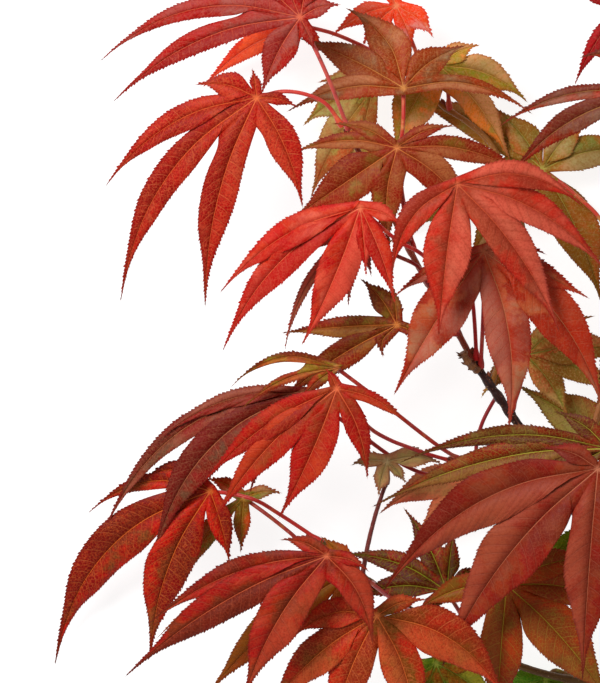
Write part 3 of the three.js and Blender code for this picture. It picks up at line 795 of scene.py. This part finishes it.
# a row of four: two values of what drives a colour or a height, and its share at each
bladeFinish = {
    "seedShift": (0.37, 0.61, 0.0), "hueShift": (0.31, -0.17, 0.23),
    "blotch": 80.0, "hueScale": 70.0, "grain": 1500.0, "netScale": 1000.0, "netBend": 0.0004,
    "rough": 0.5, "grainRough": 0.25, "underRough": 0.15,
    "bump": 0.5, "bumpDepth": 0.0002, "gloss": 0.12,
    "veinHeight": -0.6, "ribHeight": -0.5, "netHeight": -0.35, "grainHeight": 0.5,
    "ribHalf": 0.18, "ribTaper": 1.25, "ribEdge": (0.45, 1.35, 1.0, 0.0),
    "veinHalf": 0.12, "veinEdge": (0.3, 1.6), "netEdge": (0.015, 0.09, 1.0, 0.0),
    "veinByMargin": (0.1, 1.6, 0.15, 1.0), "veinByHub": (2.0, 9.0, 0.0, 1.0),
    "toneByHub": (2.0, 10.0, 0.0, 1.0), "toneShade": 0.18, "toneHue": 0.05,
    "blotchShade": 0.7, "ribHue": 0.1, "ribHueTo": 0.3,
    "reddest": (0.5, 0.42, 0.0, 1.0), "greenest": (0.5, 0.58, 0.0, 1.0),
    # painted shade and sheen: how the shade value darkens towards the dark colour and lightens towards the
    # light one
    "deep": (0.47, 0.68, 0.0, 0.85), "pale": (0.49, 0.3, 0.0, 0.7),
    # the first ramp on the next line darkens each half next to the sunken midrib, as painted shade in its
    # fold
    "deepByRib": (0.05, 0.45, 0.4, 0.0), "deepByVein": (0.15, 0.7, 0.2, 0.0),
    "paleGrain": (0.5, 0.66), "paleGrainShare": 0.8, "deepGrain": (0.5, 0.36),
    "netByBlotch": (0.35, 0.6, 0.4, 1.0), "netShare": 0.55, "veinShare": 0.6,
    "rim": (0.05, 0.7, 0.55, 0.0),
    "rimShare": (0.8, 0.4, 0.6),                  # red, green and blue left of the dark colour there
    "driedTip": "4a2a1a", "dried": (0.94, 1.0, 0.0, 0.75),
    "rib": (0.5, 1.0, 0.9, 0.4), "hub": (0.4, 1.6, 0.7, 0.0), "underPale": 0.35,
}


def bladeMaterial(name, look, finish, seed):
    body, deep, pale, reddest, greenest, rib = (tint(code) for code in look[:6])
    netShare = look[7]
    rim = tuple(c * share for c, share in zip(deep[:3], finish["rimShare"])) + (1.0,)
    material, g, shader = newMaterial(name)

    def drive(flow, key):
        return g.ramp(flow, *finish[key])

    def moved(vector, by):
        return g.add("ShaderNodeVectorMath", {"operation": "ADD"}, {0: vector, 1: by})

    across, edge, fromHub = g.attribute("sheet")
    vein, share, under = g.attribute("run")
    # each lobe's random tone together with the painted shade of its lighter and darker half
    tone = g.add("ShaderNodeAttribute", {"attribute_name": "tone"}, output="Fac")
    where = g.add("ShaderNodeTexCoord", output="Object")
    shifted = moved(where, tuple(seed * step for step in finish["seedShift"]))
    blotch = g.noise(shifted, finish["blotch"], 3.0, 0.6)
    hueNoise = g.noise(moved(shifted, finish["hueShift"]), finish["hueScale"], 4.0, 0.65)
    grain = g.noise(shifted, finish["grain"], 2.0, 0.6)
    cells = g.add("ShaderNodeTexVoronoi", {"feature": "DISTANCE_TO_EDGE"},
                  {"Vector": moved(shifted, grain * finish["netBend"]), "Scale": finish["netScale"]})
    netLine = drive(cells, "netEdge")
    offRib = g.add("ShaderNodeMath", {"operation": "ABSOLUTE"}, {0: across})
    onRib = drive(offRib / (finish["ribHalf"] * (finish["ribTaper"] - share)), "ribEdge")
    phase = g.add("ShaderNodeMath", {"operation": "FRACT"}, {0: vein})
    offVein = g.add("ShaderNodeMath", {"operation": "PINGPONG"}, {0: phase, 1: 0.5})
    offVein = offVein * (bladeForm["veinEvery"] * bladeForm["rowPitch"])
    inner, outer = (finish["veinHalf"] * width for width in finish["veinEdge"])
    onVein = g.ramp(offVein, inner, outer, 1.0, 0.0)
    onVein = onVein * drive(edge, "veinByMargin") * drive(fromHub, "veinByHub")

    away = drive(fromHub, "toneByHub")
    inHalf = offRib / (offRib + edge + 0.05)      # 0 on the midrib, 1 on the margin
    # painted shade and sheen: blotches and each lobe's tone darken the colour towards its dark one and
    # lighten it towards its light one, the lighter patches a painted sheen
    shade = 0.5 + (blotch - 0.5) * finish["blotchShade"] + tone * away * finish["toneShade"]
    hue = hueNoise + (finish["ribHueTo"] - inHalf) * finish["ribHue"] + tone * away * finish["toneHue"]
    colour = g.blend(body, reddest, drive(hue, "reddest"))
    colour = g.blend(colour, greenest, drive(hue, "greenest"))
    colour = g.blend(colour, deep, drive(shade, "deep"))
    colour = g.blend(colour, pale, drive(shade, "pale"))
    # painted shade in the midrib's fold: each half darker next to the midrib
    colour = g.blend(colour, deep, drive(inHalf, "deepByRib"))
    paleGrain = g.ramp(grain, *finish["paleGrain"], 0.0, netShare * finish["paleGrainShare"])
    colour = g.blend(colour, pale, paleGrain)
    colour = g.blend(colour, deep, g.ramp(grain, *finish["deepGrain"], 0.0, netShare))
    colour = g.blend(colour, rib, netLine * drive(blotch, "netByBlotch") * (netShare * finish["netShare"]))
    colour = g.blend(colour, deep, drive(offVein, "deepByVein") * away)
    colour = g.blend(colour, rib, onVein * (netShare * finish["veinShare"]))
    colour = g.blend(colour, rim, drive(edge, "rim"))
    colour = g.blend(colour, tint(finish["driedTip"]), drive(share, "dried"))
    colour = g.blend(colour, rib, onRib * drive(share, "rib"))
    colour = g.blend(colour, rib, drive(fromHub, "hub"))
    colour = g.blend(colour, pale, under * finish["underPale"])
    rough = finish["rough"] + (grain - 0.5) * finish["grainRough"] + under * finish["underRough"]
    height = onVein * finish["veinHeight"] + onRib * finish["ribHeight"]
    height = height + netLine * finish["netHeight"] + grain * finish["grainHeight"]
    plugSkin(g, shader, colour, rough, height, finish)
    return material


stalkFinish = {
    "streak": 260.0, "fine": 1040.0, "rough": 0.42, "fineRough": 0.2,
    "bump": 0.2, "bumpDepth": 0.0001, "gloss": 0.3,
    "ribShare": (0.5, 0.8, 0.0, 0.7), "dark": "5a1c18", "darkShare": (0.45, 0.2, 0.0, 0.6),
    "pale": "e0b090", "paleShare": (0.62, 0.8, 0.0, 0.4),
}


def stalkMaterial(name, look, finish):
    material, g, shader = newMaterial(name)
    rib, stalk = (tint(code) for code in look[5:7])
    where = g.add("ShaderNodeTexCoord", output="Object")
    fine = g.noise(where, finish["fine"], 2.0, 0.6)
    slow = g.noise(where, finish["streak"], 2.0, 0.5)
    colour = g.blend(stalk, rib, g.ramp(slow, *finish["ribShare"]))
    colour = g.blend(colour, tint(finish["dark"]), g.ramp(slow, *finish["darkShare"]))
    colour = g.blend(colour, tint(finish["pale"]), g.ramp(fine, *finish["paleShare"]))
    plugSkin(g, shader, colour, finish["rough"] + (fine - 0.5) * finish["fineRough"], fine, finish)
    return material


# leaves

stalkForm = {
    "sides": 10, "step": 0.9, "perSpan": 8,
    "girth": 0.62,
    "hubGirth": 0.78, "hubLength": 5, "belowHub": 0.25,
    "footGirth": 1.05, "footLength": 2.6,
    "sink": 1.4,                                  # into the stem
}


def stalkPath(leaf, form):
    path = [leaf["hub"] - np.array([0, 0, form["belowHub"]]), *leaf["stalk"][1:]]
    path.append(path[-1] + unit(path[-1] - path[-2]) * form["sink"])
    line, run = curveThrough(path, form["perSpan"])
    atHub = 1 - smooth(run, 0, form["hubLength"])
    atFoot = 1 - smooth(run[-1] - run, form["sink"], form["sink"] + form["footLength"])
    girth = form["girth"] + (form["hubGirth"] - form["girth"]) * atHub
    return line, girth + (form["footGirth"] - form["girth"]) * atFoot


def growLeaf(number, node):
    leaf, look, name = leaves[node], leafLooks[node.removeprefix("leaf_")], camel(node)
    dice = random.Random(bladeForm["seed"] * 1000 + number)
    blade = growBlade(leaf, bladeForm, dice)
    skins = [bladeMaterial(name + "Blade", look, bladeFinish, number),
             stalkMaterial(name + "Stalk", look, stalkFinish)]
    line, girth = stalkPath(leaf, stalkForm)
    values = {"Sides": stalkForm["sides"], "Step": stalkForm["step"] * millimetre, "Material": skins[1]}
    tube = tubeMesh(line, girth, values)
    slots = [0] * len(blade.faces) + [1] * len(tube.polygons)
    blade.addTube(tube)
    bpy.data.meshes.remove(tube)
    corners = {"sheet": blade.sheet, "run": blade.run, "tone": blade.tone}
    piece = newPiece(name, blade.verts, blade.faces, skins, slots, corners, bladeForm["sharpFrom"])
    declare(piece, node)


for number, node in enumerate(leafNodes):
    growLeaf(number, node)
print("leaves grown")


# stems

stemForm = {
    "sides": 20, "step": 0.35, "perSpan": 40, "relief": 0.2, "fineRelief": 0.07,
    "sink": 1.2,                                  # into the stem below
    "footFlare": 1.3,                             # how much thicker it is there
    "swelling": 0.3, "swellingLength": 1.5,       # at each joint, as a share of the girth, and mm
    "ringHeight": 0.14, "ringAt": 1.5,            # the fine ring that old leaves and scales leave
    "ringWidth": 0.22,
    "knobs": (0.2, 0.55, 0.9), "knob": 0.45,      # thick rings round the old stub
    "knobWidth": 0.35,
    "cutRound": 0.06, "cutRoundLength": 0.3,      # the worn edge of the cut end
    "lookAhead": 8,                               # points from a stem's foot to where its way is read
    "speckDensity": 150000.0, "speckSize": 0.13,
    "sharpFrom": 60, "seed": 5,
}
stemLooks = {                                     # base, dark, pale streaks
    "main_stem": ("2a100a", "120604", "84503a"),
    "leader": ("96442c", "541c12", "c08c64"),
    "old_stub": ("7a4c28", "34180c", "a88458"),
    "middle_twig": ("7e391d", "4c1c10", "a8603c"),
    "lower_twig": ("5c3c10", "3a1c08", "8c7434"),
    "young_twig": ("74302a", "3a1412", "b0746c"),
    "back_twig": ("84500e", "562e0a", "b08048"),
    "side_twig": ("94582a", "5c3414", "ac8248"),
}


barkFinish = {
    "along": 60.0, "around": 1.6, "streak": 3.0, "grain": 1400.0,
    "rough": 0.5, "streakRough": 0.4, "bump": 0.5, "bumpDepth": 0.0003, "gloss": 0.3,
    "dark": (0.48, 0.72, 0.0, 0.9), "pale": (0.45, 0.25, 0.0, 0.6), "paleGrain": (0.62, 0.74, 0.0, 0.6),
    "streakHeight": -0.8, "grainHeight": 0.4,
}


def barkMaterial(name, look, finish):
    base, dark, pale = (tint(c) for c in look)
    material, g, shader = newMaterial(name)
    run = g.add("ShaderNodeAttribute", {"attribute_name": "tubeRun"}, output="Fac")
    turn = g.add("ShaderNodeAttribute", {"attribute_name": "tubeTurn"}, output="Fac") * (2 * math.pi)
    where = g.add("ShaderNodeTexCoord", output="Object")
    over = g.add("ShaderNodeMath", {"operation": "SINE"}, {0: turn})
    aside = g.add("ShaderNodeMath", {"operation": "COSINE"}, {0: turn})
    skin = g.add("ShaderNodeCombineXYZ", {},
                 {0: run * finish["along"], 1: over * finish["around"], 2: aside * finish["around"]})
    streak = g.noise(skin, finish["streak"], 4.0, 0.65)
    grain = g.noise(where, finish["grain"], 2.0, 0.6)
    colour = g.blend(base, dark, g.ramp(streak, *finish["dark"]))
    colour = g.blend(colour, pale, g.ramp(streak, *finish["pale"]))
    colour = g.blend(colour, pale, g.ramp(grain, *finish["paleGrain"]))
    height = streak * finish["streakHeight"] + grain * finish["grainHeight"]
    plugSkin(g, shader, colour, finish["rough"] + (streak - 0.5) * finish["streakRough"], height, finish)
    return material


speckledLooks = {                                 # base, spots, how fine the spots are
    "lenticel": ("b08c6c", "8c6248", 3000.0),
    "budScale": ("5c2418", "8c4c30", 900.0),
    "dryScale": ("7c5030", "3c2012", 1200.0),
    "cutWood": ("d8b888", "b89060", 1500.0),
}
speckledFinish = {
    "spots": (0.4, 0.65), "rough": 0.65, "spotRough": 0.3, "bump": 0.5, "bumpDepth": 0.0002, "gloss": 0.25,
    "rings": 14000.0, "ringBend": 0.0002, "ringHeight": 0.3,
    "ringColour": "8c6238", "ringShare": (0.2, 1.0, 0.0, 0.6),
    "pith": "5a3418", "pithReach": (0.00035, 0.0002),
}


def speckledMaterial(name, finish, centre=None):
    base, other, scale = speckledLooks[name]
    material, g, shader = newMaterial(name)
    where = g.add("ShaderNodeTexCoord", output="Object")
    spot = g.noise(where, scale, 3.0, 0.6)
    colour = g.blend(tint(base), tint(other), g.ramp(spot, *finish["spots"]))
    height = spot
    if centre is not None:                        # growth rings round the pith of a cut end
        away = g.add("ShaderNodeVectorMath", {"operation": "DISTANCE"},
                     {0: where, 1: tuple(centre)}, output="Value")
        wobbly = (away + spot * finish["ringBend"]) * finish["rings"]
        ring = g.add("ShaderNodeMath", {"operation": "SINE"}, {0: wobbly})
        colour = g.blend(colour, tint(finish["ringColour"]), g.ramp(ring, *finish["ringShare"]))
        colour = g.blend(colour, tint(finish["pith"]), g.ramp(away, *finish["pithReach"]))
        height = spot + ring * finish["ringHeight"]
    plugSkin(g, shader, colour, finish["rough"] + (spot - 0.5) * finish["spotRough"], height, finish)
    return material


def stemLine(node):
    stem = stems[node]
    line, run = curveThrough(stem["path"], stemForm["perSpan"])
    return line, run, np.interp(run / run[-1], np.linspace(0, 1, len(stem["girth"])), stem["girth"])


stemLines = {node: stemLine(node) for node in stemNodes}


def nearestOn(point, skip=()):                    # the stem closest to a point, and where along it
    best = None
    for node, (line, _, girth) in stemLines.items():
        if node in skip:
            continue
        reach = np.linalg.norm(line - point, axis=1) - girth
        k = int(np.argmin(reach))
        if best is None or reach[k] < best[0]:
            best = (reach[k], node, k)
    return best[1], best[2]


joints = {node: [] for node in stemNodes}         # (place along, direction out, direction along)


def joinTo(on, k, towards):                       # something grows from a stem's point k
    line, run, _ = stemLines[on]
    joints[on].append((run[k], unit(towards - line[k]), slopesOf(line)[k]))


for node in leafNodes:
    end, before = leaves[node]["stalk"][-1], leaves[node]["stalk"][-2]
    joinTo(*nearestOn(end), before)
for node in stemNodes:
    if node != "main_stem":
        line = stemLines[node][0]
        joinTo(*nearestOn(line[0], (node,)), line[stemForm["lookAhead"]])


def hump(off, width):
    return np.exp(-(off / width) ** 2)


def swollen(node, form):
    line, run, girth = stemLines[node]
    thick = girth.copy()
    for at, _, _ in joints[node]:
        thick += girth * form["swelling"] * hump(run - at, form["swellingLength"])
        for bank in (-1, 1):
            thick += form["ringHeight"] * hump(run - at - bank * form["ringAt"], form["ringWidth"])
    if node == "old_stub":
        for at in form["knobs"]:
            thick += form["knob"] * hump(run - at * run[-1], form["knobWidth"])
    if node == "main_stem":
        return line, thick * (1 - form["cutRound"] * np.exp(-run / form["cutRoundLength"]))
    line = np.vstack([line[0] - unit(line[1] - line[0]) * form["sink"], line])
    return line, np.concatenate([[thick[0] * form["footFlare"]], thick])


# buds and old scales: small shapes set on points along the stems

budForm = {
    "sides": 9, "rings": 8, "girth": 0.3, "bend": 0.0, "tip": 1.08,
    "belly": 0.75, "blunt": 0.8,                  # how low it is widest, and how full it stays
    "scales": 3, "step": 0.16,                    # its own scales, and how far each stands out
    "lengths": (1.5, 2.3), "off": 0.95, "up": 1.1, "lean": 0.6,
}
scaleForm = {
    **budForm, "rings": 6, "girth": 0.16, "bend": 0.35,
    "lengths": (1.3, 2.4), "off": 0.9, "lean": (0.4, 2),
    # how many stand on which share of a stem's length
    "stands": (("old_stub", 0.15, 1.0, 8), ("main_stem", 0.965, 0.995, 3)),
}


def pointedShape(name, form):                     # one unit long, from its foot at the origin along +Z
    verts, faces = [(0, 0, 0)], []
    sides, rings, bend = form["sides"], form["rings"], form["bend"]
    for r in range(rings):
        u = (r + 0.5) / rings
        radius = form["girth"] * math.sin(math.pi * u ** form["belly"]) ** form["blunt"]
        radius *= 1 + form["step"] * (1 - (u * form["scales"]) % 1)
        for k in range(sides):
            a = 2 * math.pi * (k + 0.5 * (r % 2)) / sides
            verts.append((radius * math.cos(a) + bend * u * u, radius * math.sin(a), u))
    verts.append((bend, 0, form["tip"]))
    for k in range(sides):
        j = (k + 1) % sides
        faces.append((0, 1 + j, 1 + k))
        faces.append((1 + (rings - 1) * sides + k, 1 + (rings - 1) * sides + j, len(verts) - 1))
        for r in range(rings - 1):
            a, b = 1 + r * sides, 1 + (r + 1) * sides
            faces.append((a + k, a + j, b + j, b + k))
    mesh = bpy.data.meshes.new(name)
    mesh.from_pydata(verts, [], faces)
    return addObject(name, mesh)


def pointsTree():
    tree = bpy.data.node_groups.new("shapesOnPoints", "GeometryNodeTree")
    for label, kind in (("Points", "Geometry"), ("Shape", "Object"), ("Material", "Material")):
        tree.interface.new_socket(label, in_out="INPUT", socket_type="NodeSocket" + kind)
    tree.interface.new_socket("Placed", in_out="OUTPUT", socket_type="NodeSocketGeometry")
    graph = Graph(tree)
    given = graph.add("NodeGroupInput")
    shape = graph.add("GeometryNodeObjectInfo", inputs={"Object": given.of("Shape")}, output="Geometry")
    aim = graph.add("GeometryNodeInputNamedAttribute", {"data_type": "FLOAT_VECTOR"}, {"Name": "aim"})
    size = graph.add("GeometryNodeInputNamedAttribute", {"data_type": "FLOAT_VECTOR"}, {"Name": "size"})
    facing = graph.add("FunctionNodeAlignRotationToVector", {"axis": "Z"}, {"Vector": aim})
    placed = graph.add("GeometryNodeInstanceOnPoints",
                       inputs={"Points": given, "Instance": shape, "Rotation": facing, "Scale": size})
    placed = graph.add("GeometryNodeRealizeInstances", inputs={0: placed})
    placed = graph.add("GeometryNodeSetShadeSmooth", inputs={0: placed})
    placed = graph.add("GeometryNodeSetMaterial",
                       inputs={"Geometry": placed, "Material": given.of("Material")})
    graph.add("NodeGroupOutput", inputs={0: placed})
    return tree


placing = pointsTree()
bud = pointedShape("bud", budForm)
scale = pointedShape("scale", scaleForm)


def setOnPoints(name, shape, places, aims, sizes, material):
    mesh = bpy.data.meshes.new("places")
    mesh.from_pydata(np.asarray(places) * millimetre, [], [])
    for key, values in (("aim", aims), ("size", np.asarray(sizes) * millimetre)):
        layer = mesh.attributes.new(key, "FLOAT_VECTOR", "POINT")
        layer.data.foreach_set("vector", np.asarray(values, np.float32).ravel())
    source = addObject("places", mesh)
    grown = grownBy(placing, source, {"Shape": shape, "Material": material})
    bpy.data.objects.remove(source)
    grown.name = name
    return addObject(name, grown)


speck = speckledMaterial("lenticel", speckledFinish)
budSkin = speckledMaterial("budScale", speckledFinish)
drySkin = speckledMaterial("dryScale", speckledFinish)


def growStem(node, form):
    line, thick = swollen(node, form)
    material = barkMaterial(camel(node) + "Bark", stemLooks[node], barkFinish)
    values = {"Sides": form["sides"], "Step": form["step"] * millimetre, "Material": material,
              "Relief": form["relief"] * millimetre, "Fine Relief": form["fineRelief"] * millimetre,
              "Speck Density": form["speckDensity"], "Speck Size": form["speckSize"] * millimetre,
              "Speck Material": speck, "Seed": form["seed"]}
    mesh = tubeMesh(line, thick, values)
    mesh.name = camel(node)
    mesh.polygons.foreach_set("use_smooth", [True] * len(mesh.polygons))
    if node == "main_stem":                       # the two flat ends show cut wood
        cutWood = speckledMaterial("cutWood", speckledFinish, line[0] * millimetre)
        mesh.materials.append(cutWood)
        for face in mesh.polygons:
            if len(face.vertices) == form["sides"]:
                face.material_index = len(mesh.materials) - 1
    mesh.set_sharp_from_angle(angle=math.radians(form["sharpFrom"]))
    declare(addObject(camel(node), mesh), node)


def setBuds(node, form, dice):                    # one in the corner of every joint
    line, run, girth = stemLines[node]
    places, aims, sizes = [], [], []
    for at, out, along in joints[node]:
        k = int(np.argmin(np.abs(run - at)))
        forward = float(np.dot(out, along))
        side = unit(out - along * forward)
        up = along if forward >= 0 else -along
        places.append(line[k] + side * girth[k] * form["off"] + up * form["up"])
        aims.append(unit(side * form["lean"] + up))
        sizes.append([dice.uniform(*form["lengths"])] * 3)
    if places:
        declare(setOnPoints(camel(node) + "Buds", bud, places, aims, sizes, budSkin), node)


def setOldScales(form, dice):
    places, aims, sizes = [], [], []
    for node, low, high, count in form["stands"]:
        line, _, girth = stemLines[node]
        ways = slopesOf(line)
        for _ in range(count):
            k = int(dice.uniform(low, high) * (len(line) - 1))
            side = unit(np.cross(ways[k], [dice.uniform(-1, 1) for _ in range(3)]))
            places.append(line[k] + side * girth[k] * form["off"])
            aims.append(unit(side + ways[k] * dice.uniform(*form["lean"])))
            sizes.append([dice.uniform(*form["lengths"])] * 3)
    declare(setOnPoints("oldBudScales", scale, places, aims, sizes, drySkin), "old_stub")


dice = random.Random(stemForm["seed"])
for node in stemNodes:
    growStem(node, stemForm)
    setBuds(node, budForm, dice)
setOldScales(scaleForm, dice)
for shape in (bud, scale):
    bpy.data.objects.remove(shape)
print("stems grown")


# floor, light and camera

studio = {
    "floorHalf": 3.0, "floorWhite": 0.3, "floorRough": 0.9, "floorGlow": 0.84,
    "worldStrength": 0.36,
    "keyAt": (-0.75, 0.55, 1.45), "keySize": 0.7, "keyPower": 29.0,
    "aim": (-0.03625, -0.0025, 0.045), "cameraAway": 8.0, "cameraReach": 50, "fieldHeight": 0.2049,
}


def layFloor(values):
    h = values["floorHalf"]
    mesh = bpy.data.meshes.new("floor")
    mesh.from_pydata([(-h, -h, 0), (h, -h, 0), (h, h, 0), (-h, h, 0)], [], [(0, 1, 2, 3)])
    floor = addObject("floor", mesh)
    material, g, shader = newMaterial("paleFloor")
    white = values["floorWhite"]
    plug(g, shader, Base_Color=(white, white, white, 1), Roughness=values["floorRough"],
         Emission_Color=(1, 1, 1, 1), Emission_Strength=values["floorGlow"])
    mesh.materials.append(material)


def lightStudio(values):
    world = bpy.data.worlds.new("softWhite")
    world.use_nodes = True
    sky = world.node_tree.nodes["Background"]
    sky.inputs["Color"].default_value = (1, 1, 1, 1)
    sky.inputs["Strength"].default_value = values["worldStrength"]
    bpy.context.scene.world = world
    light = bpy.data.lights.new("softKey", "AREA")
    light.size = values["keySize"]
    light.energy = values["keyPower"]
    key = addObject("softKey", light)
    key.location = values["keyAt"]
    key.rotation_euler = (Vector(values["aim"]) - key.location).to_track_quat("-Z", "Y").to_euler()


def setCamera(values):
    camera = addObject("camera", bpy.data.cameras.new("camera"))
    x, y, z = values["aim"]
    camera.location = (x, y, z + values["cameraAway"])
    camera.data.lens = camera.data.sensor_width * values["cameraAway"] / values["fieldHeight"]
    camera.data.clip_end = values["cameraReach"]
    bpy.context.scene.camera = camera


layFloor(studio)
lightStudio(studio)
setCamera(studio)
bpy.context.scene.view_settings.view_transform = "Standard"
